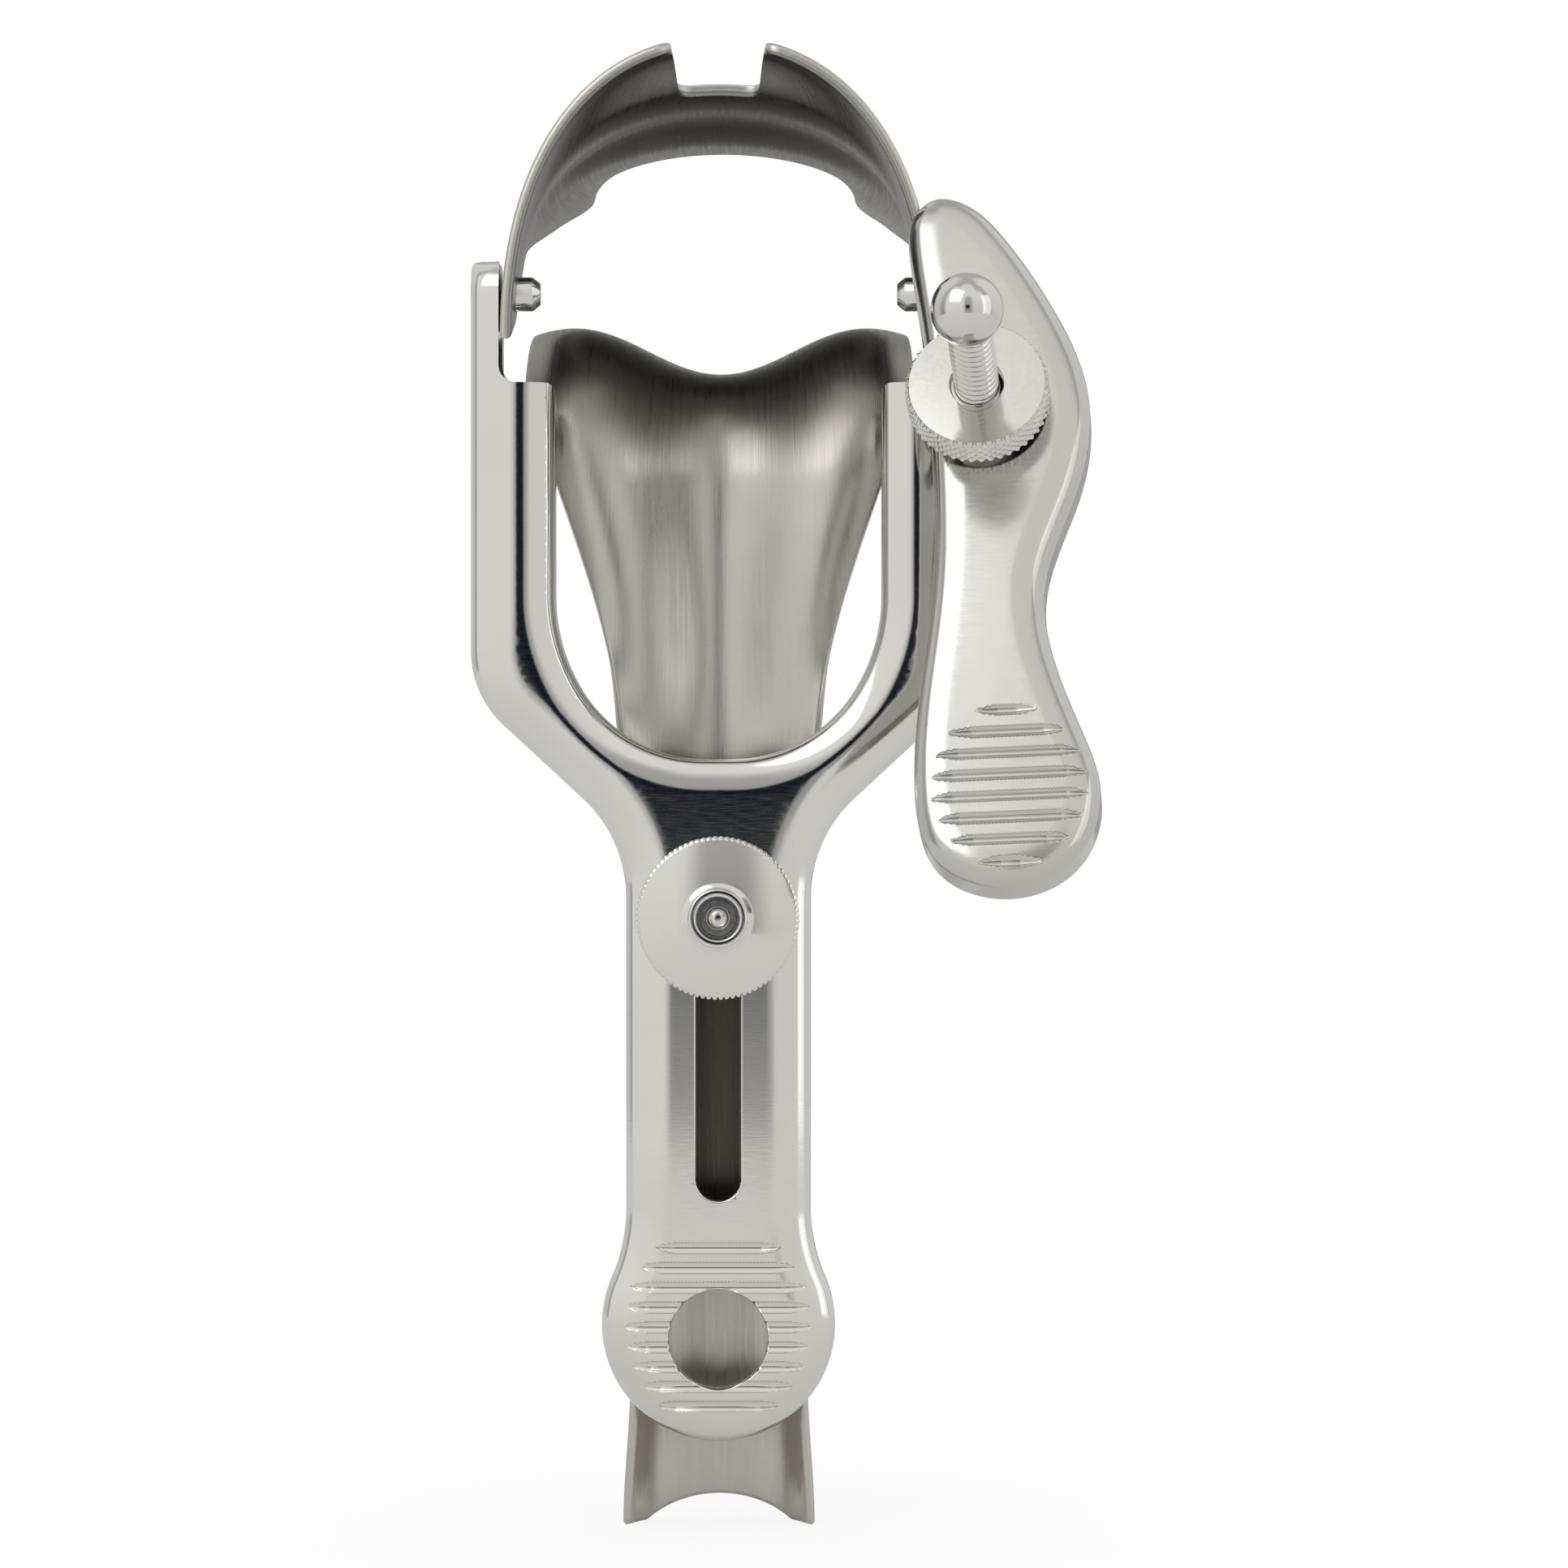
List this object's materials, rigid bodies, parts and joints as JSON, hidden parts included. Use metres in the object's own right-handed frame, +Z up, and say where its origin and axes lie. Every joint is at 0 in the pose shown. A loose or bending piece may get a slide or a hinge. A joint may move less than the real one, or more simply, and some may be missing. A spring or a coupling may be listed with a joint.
{
  "type": "bivalve speculum",
  "caption": "Bivalve speculum: lower blade on a channel handle, sliding yoke with thumb nut, hinged upper blade with thumb lever and swivel screw.",
  "frame": {"origin": "middle of the round hole in the yoke's foot, at the yoke's front face", "axes": "+Z up along the handle, +Y along the blades and away from the user, +X towards the thumb lever"},
  "size_m": [0.0682, 0.1575, 0.1726],
  "materials": {
    "polished_steel": "polished stainless steel",
    "satin_steel": "satin brushed stainless steel",
    "hardware_steel": "bright turned stainless steel"
  },
  "bodies": {
    "lower_blade_body": {"lower_blade": "satin_steel", "clamp_stud": "hardware_steel"},
    "clamp_nut_body": {"clamp_nut": "hardware_steel"},
    "yoke_body": {"yoke": "polished_steel", "pivot_pin_left": "hardware_steel", "pivot_pin_right": "hardware_steel", "swivel_bracket": "hardware_steel", "swivel_pin": "hardware_steel"},
    "upper_blade_body": {"upper_blade": "satin_steel", "thumb_lever": "polished_steel"},
    "screw_body": {"swivel_screw": "hardware_steel", "swivel_ball": "hardware_steel"},
    "lever_nut_body": {"lever_nut": "hardware_steel"}
  },
  "joints": [
    {"name": "handle_slide", "type": "slide", "parent": "lower_blade_body", "child": "yoke_body", "axis": [0, 0, 1], "range_m": [0, 0.029]},
    {"name": "clamp_nut_turn", "type": "hinge", "parent": "lower_blade_body", "child": "clamp_nut_body", "pos_m": [0, 0, 0.0468], "axis": [0, -1, 0], "range_deg": [0, 720]},
    {"name": "blade_hinge", "type": "hinge", "parent": "yoke_body", "child": "upper_blade_body", "pos_m": [0, 0.0055, 0.1165], "axis": [1, 0, 0], "range_deg": [-16, 15]},
    {"name": "screw_swivel", "type": "hinge", "parent": "yoke_body", "child": "screw_body", "pos_m": [0.0306, 0.004, 0.093], "axis": [1, 0, 0], "range_deg": [-16, 15]},
    {"name": "lever_nut_travel", "type": "slide", "parent": "screw_body", "child": "lever_nut_body", "axis": [-0.1045, -0.9013, 0.4203], "range_m": [-0.00601, 0.00639]}
  ],
  "couplings": [
    {"joint": "screw_swivel", "follows": "blade_hinge", "ratio": 1},
    {"joint": "lever_nut_travel", "follows": "blade_hinge", "m_per_rad": -0.021812}
  ]
}
